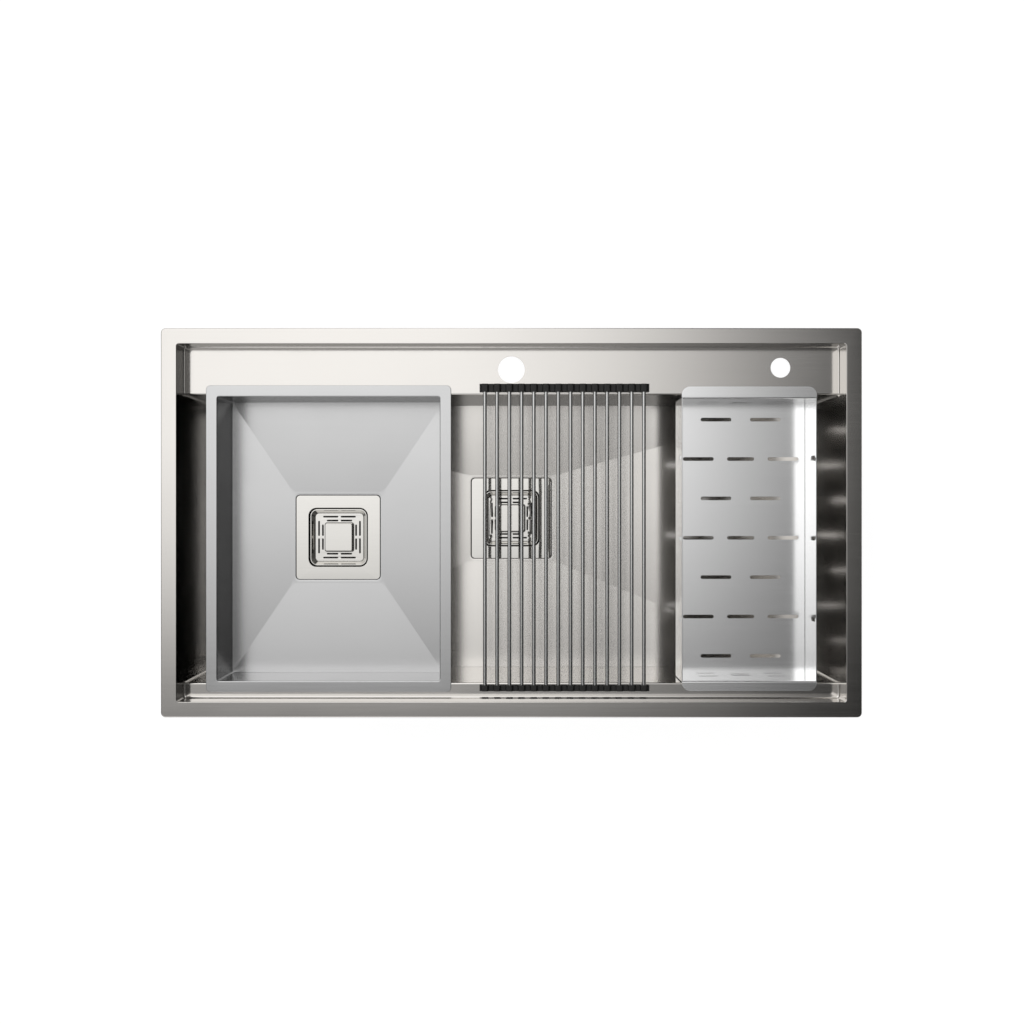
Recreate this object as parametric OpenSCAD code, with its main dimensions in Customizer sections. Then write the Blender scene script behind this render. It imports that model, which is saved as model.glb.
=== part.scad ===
// Stainless steel kitchen sink for a worktop, with a loose basin, a roll-up rack and a colander tray.
// Millimetres. X runs left to right, Y from front to back, Z up. Z = 0 is the worktop's surface.

/* [Rim and deck] */
// Overall length of the rim, left to right
sink_w = 900; // [860:5:1000]
// Overall depth of the rim, front to back
sink_d = 500; // [490:5:540]
// Width of the flat rim
rim_w = 20; // [18:1:24]
// Height of the rim above the worktop
rim_h = 3; // [2.6:0.2:4]
// Thickness of the sink's steel sheet
sheet = 1.5; // [1.2:0.1:1.8]
// Drop from the rim down to the deck and the front ledge
deck_drop = 40; // [34:1:48]
// Depth of the back deck, front to back
deck_w = 62.5; // [62.5:0.5:70]
// Depth of the front ledge that carries the loose pieces
ledge_w = 20; // [19:0.5:24]
// Radius of the rim's outer corners
corner_r = 6; // [4:0.5:10]
// Diameter of the tap hole
tap_d = 35; // [32:0.5:35]
// Diameter of the soap dispenser's hole
soap_d = 26; // [22:0.5:28]
// Distance of the dispenser's hole from the right-hand wall
soap_in = 77; // [60:1:110]

/* [Bowl] */
// Depth of the bowl under the rim at its walls
bowl_h = 229; // [215:1:245]
// Fall of the floor's four creased faces to the waste
floor_drop = 4; // [2:0.5:8]
// Distance of the main waste behind the bowl's centre
waste_offset = 26; // [0:1:30]

/* [Square wastes] */
// Side of the square waste plate
plate_w = 116; // [114:1:118]
// Side of the square cup's mouth in the plate
cup_w = 80.6; // [78:0.2:82]
// Depth of the cup under the plate
cup_h = 34; // [30:1:38]
// Side of the strainer's square knob
knob_w = 40; // [34:1:40]
// Outside diameter of the outlet's thread
outlet_d = 47.8; // [46:0.2:48]
// Length of the main outlet under its cup
outlet_h = 30; // [22:1:40]

/* [Loose basin] */
// Length of the basin's rim, left to right
basin_w = 321; // [301:1:331]
// Depth of the basin under the deck at its walls
basin_h = 97; // [82:1:107]
// Fall of the basin's floor to its waste
basin_drop = 3; // [2:0.5:6]
// Width of the basin's flat rim
basin_lip = 14.8; // [12:0.2:18]
// Thickness of the basin's folded rim
hem = 3; // [2:0.2:4]

/* [Roll-up rack] */
// Diameter of a rod
rod_d = 5; // [4:0.2:6]
// Ratio of the room between the basin and the tray to the distance from rod to rod
room_ratio = 18.9; // [18.6:0.05:21]
// Side of the soft sleeve on a rod's end
sleeve = 9; // [8.4:0.2:10]
// Length of the sleeves on the back deck
back_sleeve = 10.5; // [9:0.5:11]
// Length of the sleeves on the front ledge
front_sleeve = 8; // [7:0.5:9]

/* [Colander tray] */
// Length of the tray, left to right
tray_w = 177; // [150:1:190]
// Depth of the tray under the deck
tray_h = 70; // [55:1:85]
// Width of a drain slot in the tray
slot_w = 5; // [4:0.2:6]

/* [Hidden] */
steel = [0.78, 0.78, 0.76];
dark_steel = [0.6, 0.6, 0.6];
black_rubber = [0.1, 0.1, 0.1];
grey_rubber = [0.35, 0.35, 0.36];
foam = [0.2, 0.2, 0.2];

// Well inside the rim, and the bowl's opening between the deck and the ledge
in_w = sink_w - 2 * rim_w;
in_d = sink_d - 2 * rim_w;
in_r = 3.5;
bend = 2;
deck_z = rim_h - deck_drop;
deck_y = in_d / 2 - deck_w;
ledge_y = ledge_w - in_d / 2;
bowl_d = deck_y - ledge_y;
bowl_y = (deck_y + ledge_y) / 2;
tap_y = in_d / 2 - 29.5;
floor_z = rim_h - bowl_h;
land_z = floor_z - floor_drop;
land_w = plate_w + 8;
waste_y = bowl_y + waste_offset;

// Square waste, measured down from the top of its plate
plate_t = 2;
gasket_t = 1.5;
proud = 0.3;
seat_t = plate_t + gasket_t;
recess_w = plate_w + 1;
step_z = -5;
step_w = cup_w - 11.6;
lip_w = cup_w - 4.2;
wire_t = 1.2;
stud_at = plate_w / 2 - 10;
throat_w = cup_w + 5.4;
throat_r = 13.5;
pan_w = step_w - 1.4;
pan_h = 11;

// Loose basin
tub_t = 1.2;
side_gap = 1.3;
basin_side = 30;
basin_x = -in_w / 2 + basin_side + basin_w / 2;
basin_over = 12.2;
roll_r = 1.5;
basin_d = bowl_d + 2 * basin_over;
tub_w = basin_w - 2 * basin_lip;
tub_d = bowl_d - 2 * side_gap - 2 * tub_t;
tub_r = 3;
basin_z = deck_z - basin_h;
basin_land_z = basin_z - basin_drop;

// Roll-up rack, its pitch and place set by the room that the basin and the tray leave
rods = 14;
tray_side = 29.6;
free_w = in_w - basin_side - basin_w - tray_side - tray_w;
rod_pitch = free_w / room_ratio;
rack_x = basin_x + basin_w / 2 + 9.275 * rod_pitch;
web_end = 7;
rod_z = deck_z + sleeve / 2;
web_t = 3;
back_y0 = deck_y + 3.5;
back_y1 = back_y0 + back_sleeve;
front_y1 = ledge_y - 2.5;
front_y0 = front_y1 - front_sleeve;
rod_y0 = front_y0 + 1.5;
rod_y1 = back_y1 - 1.5;

// Colander tray
tray_x = in_w / 2 - tray_side - tray_w / 2;
tray_d = bowl_d - 2 * 1.25;
tray_t = 1.2;
tray_over = 10.8;
tray_bend = 4;

// Clips that hang on the outer walls, and the sound pads
clip_l = 24;
clip_h = 20;
clip_t = 1.5;
clip_reach = rim_w - 4.5;
clip_z = deck_z - bend + 0.5;
screw_at = 9;
screw_d = 5;
screw_l = 26;
pad_t = 3;
pad_l = 160;
pad_side = 220;
pad_under = 190;

// Rectangle with rounded corners, centred
module rounded(l, w, r) {
    square([l - 2 * r, w], center = true);
    square([l, w - 2 * r], center = true);
    for (sx = [-1, 1], sy = [-1, 1])
        translate([sx * (l / 2 - r), sy * (w / 2 - r)])
            circle(r = r, $fn = 48);
}

// Upright wall round an opening of l by w
module wall(l, w, r, t, h) {
    linear_extrude(height = h)
        difference() {
            rounded(l + 2 * t, w + 2 * t, r + t);
            rounded(l, w, r);
        }
}

// Carries a profile round a rounded rectangle: profile x points outward, profile y points up
module around(l, w, r) {
    for (k = [0:3]) {
        a = k % 2 == 0 ? l : w;
        b = k % 2 == 0 ? w : l;
        rotate([0, 0, 90 * k]) {
            translate([a / 2, b / 2 - r, 0])
                rotate([90, 0, 0])
                    linear_extrude(height = b - 2 * r)
                        children();
            translate([a / 2 - r, b / 2 - r, 0])
                rotate_extrude(angle = 90, $fn = 48)
                    translate([r, 0])
                        children();
        }
    }
}

// Quarter of a bent sheet, its centre at the origin, bulging to the left and up
module bend_profile(r, t) {
    intersection() {
        difference() {
            circle(r = r, $fn = 48);
            circle(r = r - t, $fn = 48);
        }
        translate([-r, 0])
            square([r, r]);
    }
}

// Solid quarter of a round, its centre at the origin, to the right and up
module quarter(r) {
    intersection() {
        circle(r = r, $fn = 48);
        square([r, r]);
    }
}

// Four sloped faces from an outer rectangle down to a square land, meeting on creases
module creased(l, w, off, s, fall, t) {
    outer = [[-l / 2, -w / 2, 0], [l / 2, -w / 2, 0], [l / 2, w / 2, 0], [-l / 2, w / 2, 0]];
    inner = [[-s / 2, off - s / 2, -fall], [s / 2, off - s / 2, -fall],
        [s / 2, off + s / 2, -fall], [-s / 2, off + s / 2, -fall]];
    top = concat(outer, inner);
    polyhedron(
        points = concat(top, [for (p = top) p - [0, 0, t]]),
        faces = [
            [0, 4, 5, 1], [1, 5, 6, 2], [2, 6, 7, 3], [3, 7, 4, 0],
            [8, 9, 13, 12], [9, 10, 14, 13], [10, 11, 15, 14], [11, 8, 12, 15],
            [0, 1, 9, 8], [1, 2, 10, 9], [2, 3, 11, 10], [3, 0, 8, 11],
            [5, 4, 12, 13], [6, 5, 13, 14], [7, 6, 14, 15], [4, 7, 15, 12]
        ]);
}

// Folded floor: margin under the walls, creased faces, square land and the recess for a waste
module folded_floor(l, w, r, off, fall, t) {
    translate([0, 0, -t])
        linear_extrude(height = t)
            difference() {
                rounded(l + 2 * t, w + 2 * t, r + t);
                square([l, w], center = true);
            }
    creased(l, w, off, land_w, fall, t);
    translate([0, off, -fall]) {
        translate([0, 0, -t])
            linear_extrude(height = t)
                difference() {
                    square([land_w, land_w], center = true);
                    rounded(recess_w, recess_w, 5.5);
                }
        difference() {
            translate([0, 0, proud - seat_t - t])
                linear_extrude(height = seat_t - proud + t / 2)
                    rounded(recess_w + 2 * t, recess_w + 2 * t, 5.5 + t);
            translate([0, 0, proud - seat_t])
                linear_extrude(height = seat_t + 1)
                    rounded(recess_w, recess_w, 5.5);
            translate([0, 0, proud - seat_t - t - 1])
                linear_extrude(height = t + 2)
                    rounded(throat_w, throat_w, throat_r);
            studs(2.75, proud - seat_t - t - 1, t + 2);
        }
    }
}

// Four upright rounds at the corners of a waste
module studs(r, z, h) {
    for (sx = [-1, 1], sy = [-1, 1])
        translate([sx * stud_at, sy * stud_at, z])
            cylinder(r = r, h = h, $fn = 24);
}

// Plate with its cup and studs, z = 0 at the plate's top
module waste_flange(t) {
    difference() {
        union() {
            translate([0, 0, -plate_t])
                linear_extrude(height = plate_t)
                    rounded(plate_w, plate_w, 5);
            translate([0, 0, step_z - wire_t])
                linear_extrude(height = -step_z)
                    rounded(cup_w + 2 * wire_t, cup_w + 2 * wire_t, 11 + wire_t);
            translate([0, 0, -cup_h - wire_t])
                linear_extrude(height = cup_h)
                    rounded(step_w + 2 * wire_t, step_w + 2 * wire_t, 6.5 + wire_t);
        }
        translate([0, 0, step_z])
            linear_extrude(height = 10)
                rounded(cup_w, cup_w, 11);
        translate([0, 0, -cup_h])
            linear_extrude(height = cup_h)
                rounded(step_w, step_w, 6.5);
        translate([0, 0, -cup_h - 5])
            cylinder(d = outlet_d - 5.8, h = 10, $fn = 64);
    }
    studs(2.5, -seat_t - t - 11, seat_t + t + 11 - plate_t + 0.5);
}

module waste_gasket() {
    difference() {
        translate([0, 0, -seat_t])
            linear_extrude(height = gasket_t)
                difference() {
                    rounded(plate_w - 4, plate_w - 4, 4);
                    rounded(throat_w + 2, throat_w + 2, throat_r + 1);
                }
        studs(2.75, -seat_t - 1, gasket_t + 2);
    }
}

// Clamping frame under the floor
module waste_frame(t) {
    difference() {
        translate([0, 0, -seat_t - t - 3])
            linear_extrude(height = 3)
                difference() {
                    rounded(plate_w - 2, plate_w - 2, 6);
                    rounded(throat_w - 1, throat_w - 1, throat_r - 0.5);
                }
        studs(2.75, -seat_t - t - 4, 5);
    }
}

module waste_nuts(t) {
    for (sx = [-1, 1], sy = [-1, 1])
        translate([sx * stud_at, sy * stud_at, -seat_t - t - 7])
            difference() {
                cylinder(d = 9.2, h = 4, $fn = 6);
                translate([0, 0, -1])
                    cylinder(r = 2.55, h = 6, $fn = 24);
            }
}

module waste_outlet(h) {
    translate([0, 0, -cup_h - wire_t - h])
        difference() {
            cylinder(d = outlet_d, h = h, $fn = 64);
            translate([0, 0, -1])
                cylinder(d = outlet_d - 5.8, h = h + 2, $fn = 64);
        }
}

// Slot with round ends along Y, centred
module slot(l, w) {
    square([w, l - w], center = true);
    for (s = [-1, 1])
        translate([0, s * (l - w) / 2])
            circle(d = w, $fn = 24);
}

// Strainer basket: flat lip, straight sides and a floor with two rings of slots
module waste_basket() {
    translate([0, 0, step_z])
        linear_extrude(height = wire_t)
            difference() {
                rounded(lip_w, lip_w, 7);
                rounded(pan_w - 2 * wire_t, pan_w - 2 * wire_t, 4.5);
            }
    translate([0, 0, step_z - pan_h])
        linear_extrude(height = pan_h)
            difference() {
                rounded(pan_w, pan_w, 4.5 + wire_t);
                rounded(pan_w - 2 * wire_t, pan_w - 2 * wire_t, 4.5);
            }
    translate([0, 0, step_z - pan_h])
        linear_extrude(height = wire_t)
            difference() {
                rounded(pan_w - wire_t, pan_w - wire_t, 5);
                circle(r = 4.05, $fn = 32);
                for (k = [0:3])
                    rotate([0, 0, 90 * k])
                        for (s = [-1, 1]) {
                            translate([pan_w / 2 - 5.5, s * 12.2])
                                slot(21, 2.3);
                            translate([pan_w / 2 - 11, s * 9.65])
                                slot(15.9, 2.3);
                        }
            }
}

// Square knob with bevelled top edges, and its stem down to the plug
module waste_knob() {
    z0 = step_z - pan_h + wire_t;
    top = -3.4;
    translate([0, 0, z0])
        intersection() {
            linear_extrude(height = top - z0)
                rounded(knob_w, knob_w, 3);
            for (k = [0, 1])
                rotate([90, 0, 90 * k])
                    translate([0, 0, -knob_w / 2])
                        knob_side(top - z0);
        }
    translate([0, 0, 2.5 - cup_h - 1])
        cylinder(r = 4, h = cup_h - 1.5 + z0 + 0.5, $fn = 32);
}

// Side view of the knob, drawn through its whole width
module knob_side(h) {
    linear_extrude(height = knob_w)
        polygon([[-knob_w / 2, 0], [knob_w / 2, 0], [knob_w / 2, h - 2.4],
            [knob_w / 2 - 2.4, h], [2.4 - knob_w / 2, h], [-knob_w / 2, h - 2.4]]);
}

module waste_plug() {
    translate([0, 0, -cup_h])
        difference() {
            union() {
                cylinder(d = outlet_d + 4, h = 2.5, $fn = 64);
                cylinder(d = 16, h = 6, $fn = 48);
            }
            translate([0, 0, 1.5])
                cylinder(r = 4.05, h = 6, $fn = 32);
        }
}

module at_main() {
    translate([0, waste_y, land_z + proud])
        children();
}

module at_basin() {
    translate([basin_x, bowl_y, basin_land_z + proud])
        children();
}

// Flat rim with a turned-down outer edge and a bend into the well
module rim_frame() {
    color(steel) {
        translate([0, 0, rim_h - sheet])
            linear_extrude(height = sheet)
                difference() {
                    rounded(sink_w - 2 * sheet, sink_d - 2 * sheet, corner_r - sheet);
                    rounded(in_w + 2 * bend, in_d + 2 * bend, in_r + bend);
                }
        around(sink_w, sink_d, corner_r) {
            translate([-sheet, 0]) {
                square([sheet, rim_h - sheet]);
                translate([0, rim_h - sheet])
                    quarter(sheet);
            }
        }
        around(in_w, in_d, in_r)
            translate([bend, rim_h - bend])
                bend_profile(bend, sheet);
    }
}

// Upright walls between the rim and the deck
module upper_walls() {
    color(steel)
        translate([0, 0, deck_z - bend])
            wall(in_w, in_d, in_r, sheet, rim_h - deck_z);
}

module back_deck() {
    color(steel)
        difference() {
            union() {
                translate([0, 0, deck_z - sheet])
                    linear_extrude(height = sheet)
                        intersection() {
                            rounded(in_w, in_d, in_r);
                            translate([-in_w / 2, deck_y + bend])
                                square([in_w, deck_w]);
                        }
                translate([-in_w / 2, deck_y + bend, deck_z - bend])
                    rotate([90, 0, 90])
                        linear_extrude(height = in_w)
                            bend_profile(bend, sheet);
            }
            translate([0, tap_y, deck_z - 5])
                cylinder(d = tap_d, h = 10, $fn = 64);
            translate([in_w / 2 - soap_in, tap_y + 2.5, deck_z - 5])
                cylinder(d = soap_d, h = 10, $fn = 64);
        }
}

module front_ledge() {
    color(steel) {
        translate([0, 0, deck_z - sheet])
            linear_extrude(height = sheet)
                intersection() {
                    rounded(in_w, in_d, in_r);
                    translate([-in_w / 2, -in_d / 2])
                        square([in_w, ledge_w - bend]);
                }
        translate([in_w / 2, ledge_y - bend, deck_z - bend])
            rotate([90, 0, -90])
                linear_extrude(height = in_w)
                    bend_profile(bend, sheet);
    }
}

// Four flat walls of the bowl
module bowl_walls() {
    wall_h = deck_z - bend - floor_z;
    color(steel)
        for (s = [-1, 1]) {
            translate([s * (in_w + sheet) / 2, bowl_y, floor_z + wall_h / 2])
                cube([sheet, bowl_d - 2 * in_r, wall_h], center = true);
            translate([0, bowl_y + s * (bowl_d + sheet) / 2, floor_z + wall_h / 2])
                cube([in_w - 2 * in_r, sheet, wall_h], center = true);
        }
}

// Rounded corner strips welded between the walls and ground smooth
module bowl_corners() {
    color(steel)
        for (k = [0:3]) {
            sx = k == 0 || k == 3 ? 1 : -1;
            sy = k < 2 ? 1 : -1;
            translate([sx * (in_w / 2 - in_r), bowl_y + sy * (bowl_d / 2 - in_r), floor_z])
                rotate([0, 0, 90 * k])
                    linear_extrude(height = deck_z - bend - floor_z)
                        difference() {
                            quarter(in_r + sheet);
                            circle(r = in_r, $fn = 48);
                        }
        }
}

module bowl_floor() {
    color(steel)
        translate([0, bowl_y, floor_z])
            folded_floor(in_w, bowl_d, in_r, waste_offset, floor_drop, sheet);
}

// Soft strip that seals the rim to the worktop
module rim_seal() {
    color(foam)
        linear_extrude(height = rim_h - sheet)
            difference() {
                rounded(sink_w - 6, sink_d - 6, corner_r - 3);
                rounded(sink_w - 22, sink_d - 22, 2);
            }
}

// Places a clip on each outer wall, its own +Y pointing away from the sink
module at_clips() {
    for (k = [-1.5:1:1.5])
        for (s = [0, 1])
            rotate([0, 0, 180 * s])
                translate([k * in_w / 4.2, in_d / 2 + sheet, 0])
                    children();
    for (k = [-0.5, 0.5])
        for (s = [0, 1])
            rotate([0, 0, 180 * s + 90])
                translate([k * in_d / 2, in_w / 2 + sheet, 0])
                    children();
}

module clip_brackets() {
    color(dark_steel)
        at_clips()
            difference() {
                union() {
                    translate([-clip_l / 2, 0, clip_z])
                        cube([clip_l, clip_t, clip_h]);
                    translate([-clip_l / 2, 0, clip_z])
                        cube([clip_l, clip_reach, clip_t]);
                }
                translate([0, screw_at, clip_z - 1])
                    cylinder(d = screw_d + 0.1, h = clip_t + 2.5, $fn = 24);
            }
}

// Clamping screws that press up under the worktop
module clip_screws() {
    color(dark_steel)
        at_clips()
            translate([0, screw_at, clip_z + 4 - screw_l]) {
                cylinder(d = screw_d, h = screw_l, $fn = 24);
                translate([0, 0, screw_l])
                    cylinder(d = 2 * screw_d, h = 2, $fn = 32);
                difference() {
                    cylinder(d = 1.8 * screw_d, h = 3, $fn = 32);
                    translate([-screw_d, -0.6, -1])
                        cube([2 * screw_d, 1.2, 2.4]);
                }
            }
}

// Rubber pads that deaden the outside of the bowl
module sound_pads() {
    pad_h = bowl_h - deck_drop - 60;
    fall_a = atan(floor_drop / (in_w / 2 - land_w / 2));
    color(grey_rubber) {
        for (x = [-1, 1]) {
            translate([x * in_w / 4 - pad_l / 2, deck_y + sheet, floor_z + 30])
                cube([pad_l, pad_t, pad_h]);
            translate([x * in_w / 4 - pad_l / 2, ledge_y - sheet - pad_t, floor_z + 30])
                cube([pad_l, pad_t, pad_h]);
            translate([x * (in_w / 2 + sheet + pad_t / 2) - pad_t / 2, bowl_y - pad_side / 2, floor_z + 30])
                cube([pad_t, pad_side, pad_h]);
        }
        for (s = [0, 1])
            translate([0, bowl_y + 9, 0])
                rotate([0, 0, 180 * s])
                    translate([-in_w / 2, 0, floor_z - sheet])
                        rotate([0, fall_a, 0])
                            translate([60, -70, -pad_t])
                                cube([pad_under, 140, pad_t]);
    }
}

module main_flange() {
    color(steel)
        at_main()
            waste_flange(sheet);
}

module main_gasket() {
    color(black_rubber)
        at_main()
            waste_gasket();
}

module main_frame() {
    color(dark_steel)
        at_main()
            waste_frame(sheet);
}

module main_nuts() {
    color(dark_steel)
        at_main()
            waste_nuts(sheet);
}

module main_outlet() {
    color(steel)
        at_main()
            waste_outlet(outlet_h);
}

module main_basket() {
    color(steel)
        at_main()
            waste_basket();
}

module main_knob() {
    color(steel)
        at_main()
            waste_knob();
}

module main_plug() {
    color(black_rubber)
        at_main()
            waste_plug();
}

// Folded flat rim of the loose basin, resting on the deck and the ledge
module basin_rim() {
    color(steel)
        translate([basin_x, bowl_y, deck_z]) {
            linear_extrude(height = hem)
                difference() {
                    rounded(basin_w - 2, basin_d - 2, 5);
                    rounded(tub_w + 2 * roll_r, tub_d + 2 * roll_r, tub_r + roll_r);
                }
            around(basin_w, basin_d, 6)
                translate([-1, 0]) {
                    square([1, hem - 1]);
                    translate([0, hem - 1])
                        quarter(1);
                }
            around(tub_w, tub_d, tub_r)
                translate([roll_r, 0])
                    mirror([1, 0]) {
                        square([roll_r, hem - roll_r]);
                        translate([0, hem - roll_r])
                            quarter(roll_r);
                    }
        }
}

module basin_walls() {
    color(steel)
        translate([basin_x, bowl_y, basin_z])
            wall(tub_w, tub_d, tub_r, tub_t, basin_h);
}

module basin_floor() {
    color(steel)
        translate([basin_x, bowl_y, basin_z])
            folded_floor(tub_w, tub_d, tub_r, 0, basin_drop, tub_t);
}

module basin_flange() {
    color(steel)
        at_basin()
            waste_flange(tub_t);
}

module basin_gasket() {
    color(black_rubber)
        at_basin()
            waste_gasket();
}

module basin_frame() {
    color(dark_steel)
        at_basin()
            waste_frame(tub_t);
}

module basin_nuts() {
    color(dark_steel)
        at_basin()
            waste_nuts(tub_t);
}

module basin_outlet() {
    color(steel)
        at_basin()
            waste_outlet(18);
}

module basin_basket() {
    color(steel)
        at_basin()
            waste_basket();
}

module basin_knob() {
    color(steel)
        at_basin()
            waste_knob();
}

module basin_plug() {
    color(black_rubber)
        at_basin()
            waste_plug();
}

function rod_x(i) = rack_x + (i - (rods + 1) / 2) * rod_pitch;

module rack_rod(i) {
    color(steel)
        translate([rod_x(i), rod_y1, rod_z])
            rotate([90, 0, 0])
                cylinder(d = rod_d, h = rod_y1 - rod_y0, $fn = 32);
}

// Sleeve on a rod's end with half a web to each neighbour
module sleeve_end(i, y0, y1) {
    left = i == 1 ? web_end : rod_pitch / 2;
    right = i == rods ? web_end : rod_pitch / 2;
    translate([0, y1, 0])
        rotate([90, 0, 0])
            linear_extrude(height = y1 - y0) {
                rounded(sleeve, sleeve, 2);
                translate([-left, -web_t / 2])
                    square([left + right, web_t]);
            }
}

module rack_caps(i) {
    color(black_rubber)
        translate([rod_x(i), 0, rod_z])
            difference() {
                union() {
                    sleeve_end(i, front_y0, front_y1);
                    sleeve_end(i, back_y0, back_y1);
                }
                translate([0, rod_y1, 0])
                    rotate([90, 0, 0])
                        cylinder(d = rod_d + 0.1, h = rod_y1 - rod_y0, $fn = 32);
            }
}

module rod_01() { rack_rod(1); }
module rod_02() { rack_rod(2); }
module rod_03() { rack_rod(3); }
module rod_04() { rack_rod(4); }
module rod_05() { rack_rod(5); }
module rod_06() { rack_rod(6); }
module rod_07() { rack_rod(7); }
module rod_08() { rack_rod(8); }
module rod_09() { rack_rod(9); }
module rod_10() { rack_rod(10); }
module rod_11() { rack_rod(11); }
module rod_12() { rack_rod(12); }
module rod_13() { rack_rod(13); }
module rod_14() { rack_rod(14); }
module caps_01() { rack_caps(1); }
module caps_02() { rack_caps(2); }
module caps_03() { rack_caps(3); }
module caps_04() { rack_caps(4); }
module caps_05() { rack_caps(5); }
module caps_06() { rack_caps(6); }
module caps_07() { rack_caps(7); }
module caps_08() { rack_caps(8); }
module caps_09() { rack_caps(9); }
module caps_10() { rack_caps(10); }
module caps_11() { rack_caps(11); }
module caps_12() { rack_caps(12); }
module caps_13() { rack_caps(13); }
module caps_14() { rack_caps(14); }

// Trough section with rounded lower edges, its foot on the origin
module trough(w, h, r) {
    translate([-w / 2, r])
        square([w, h - r]);
    translate([r - w / 2, 0])
        square([w - 2 * r, h]);
    for (s = [-1, 1])
        translate([s * (w / 2 - r), r])
            circle(r = r, $fn = 48);
}

// Long floor and side walls of the tray, folded from one slotted sheet
module colander_shell() {
    row = tray_d / 7;
    color(steel)
        translate([tray_x, bowl_y, deck_z - tray_h])
            difference() {
                translate([0, tray_d / 2 - tray_t, 0])
                    rotate([90, 0, 0])
                        linear_extrude(height = tray_d - 2 * tray_t)
                            difference() {
                                trough(tray_w, tray_h + tray_t, tray_bend);
                                translate([0, tray_t])
                                    trough(tray_w - 2 * tray_t, tray_h + 5, tray_bend - tray_t);
                            }
                translate([0, 0, -1])
                    linear_extrude(height = 3) {
                        for (k = [-3:2:3])
                            for (s = [-1, 1])
                                translate([s * tray_w * 0.19, k * row])
                                    rotate([0, 0, 90])
                                        slot(tray_w * 0.237, slot_w);
                        for (k = [-2:2:2])
                            for (s = [-1:1])
                                translate([s * tray_w * 0.3254, k * row])
                                    rotate([0, 0, 90])
                                        slot(tray_w * (s == 0 ? 0.209 : 0.237), slot_w);
                    }
                for (k = [-2:2:2])
                    translate([0, k * row, tray_h - 17])
                        rotate([90, 0, 90])
                            translate([0, 0, -tray_w])
                                linear_extrude(height = 2 * tray_w)
                                    slot(24, slot_w);
            }
}

// End walls with the flanges that rest on the deck and the ledge
module colander_ends() {
    lip_bend = 2 + tray_t;
    full_d = tray_d + 2 * tray_over + 2 * 1.25;
    color(steel)
        for (k = [0, 1])
            translate([tray_x, bowl_y, deck_z])
                rotate([0, 0, 180 * k]) {
                    translate([0, tray_d / 2, -tray_h])
                        rotate([90, 0, 0])
                            linear_extrude(height = tray_t)
                                difference() {
                                    intersection() {
                                        trough(tray_w, tray_h + tray_t, tray_bend);
                                        translate([-tray_w / 2, 0])
                                            square([tray_w, tray_h + tray_t - lip_bend]);
                                    }
                                    for (s = [-1:1])
                                        translate([s * tray_w * 0.26, s == 0 ? 8 : 17])
                                            rotate([0, 0, 90])
                                                slot(26, slot_w);
                                }
                    translate([-tray_w / 2, tray_d / 2 - tray_t + lip_bend, tray_t - lip_bend])
                        rotate([90, 0, 90])
                            linear_extrude(height = tray_w)
                                bend_profile(lip_bend, tray_t);
                    linear_extrude(height = tray_t)
                        intersection() {
                            rounded(tray_w, full_d, 11);
                            translate([-tray_w / 2, tray_d / 2 - tray_t + lip_bend])
                                square([tray_w, 50]);
                        }
                }
}

rim_frame();
upper_walls();
back_deck();
front_ledge();
bowl_walls();
bowl_corners();
bowl_floor();
rim_seal();
clip_brackets();
clip_screws();
sound_pads();
main_flange();
main_gasket();
main_frame();
main_nuts();
main_outlet();
main_basket();
main_knob();
main_plug();
basin_rim();
basin_walls();
basin_floor();
basin_flange();
basin_gasket();
basin_frame();
basin_nuts();
basin_outlet();
basin_basket();
basin_knob();
basin_plug();
rod_01();
rod_02();
rod_03();
rod_04();
rod_05();
rod_06();
rod_07();
rod_08();
rod_09();
rod_10();
rod_11();
rod_12();
rod_13();
rod_14();
caps_01();
caps_02();
caps_03();
caps_04();
caps_05();
caps_06();
caps_07();
caps_08();
caps_09();
caps_10();
caps_11();
caps_12();
caps_13();
caps_14();
colander_shell();
colander_ends();
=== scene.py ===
import math

import bmesh
import bpy
from mathutils import Matrix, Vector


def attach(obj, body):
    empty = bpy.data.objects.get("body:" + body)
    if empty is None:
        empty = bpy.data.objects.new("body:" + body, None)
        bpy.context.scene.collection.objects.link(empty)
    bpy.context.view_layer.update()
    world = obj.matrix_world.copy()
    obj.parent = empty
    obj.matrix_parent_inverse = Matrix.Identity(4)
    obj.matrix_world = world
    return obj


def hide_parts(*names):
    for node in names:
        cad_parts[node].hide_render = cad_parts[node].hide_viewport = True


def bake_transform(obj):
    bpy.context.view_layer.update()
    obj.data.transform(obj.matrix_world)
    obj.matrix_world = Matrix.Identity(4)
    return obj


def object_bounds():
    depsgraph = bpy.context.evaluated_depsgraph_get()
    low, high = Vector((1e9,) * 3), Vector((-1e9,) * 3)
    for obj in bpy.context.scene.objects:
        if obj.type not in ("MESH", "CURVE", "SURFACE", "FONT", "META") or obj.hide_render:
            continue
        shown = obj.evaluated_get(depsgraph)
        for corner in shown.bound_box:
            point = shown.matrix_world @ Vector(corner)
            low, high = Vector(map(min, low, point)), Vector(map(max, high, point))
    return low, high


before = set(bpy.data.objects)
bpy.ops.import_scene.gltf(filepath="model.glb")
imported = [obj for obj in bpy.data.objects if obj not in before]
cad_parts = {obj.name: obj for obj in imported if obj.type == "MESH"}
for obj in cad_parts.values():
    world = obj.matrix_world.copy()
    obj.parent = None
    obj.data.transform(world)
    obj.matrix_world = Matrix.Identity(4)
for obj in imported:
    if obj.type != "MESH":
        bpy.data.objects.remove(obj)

cad_low, cad_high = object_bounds()
scene = bpy.context.scene

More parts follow.
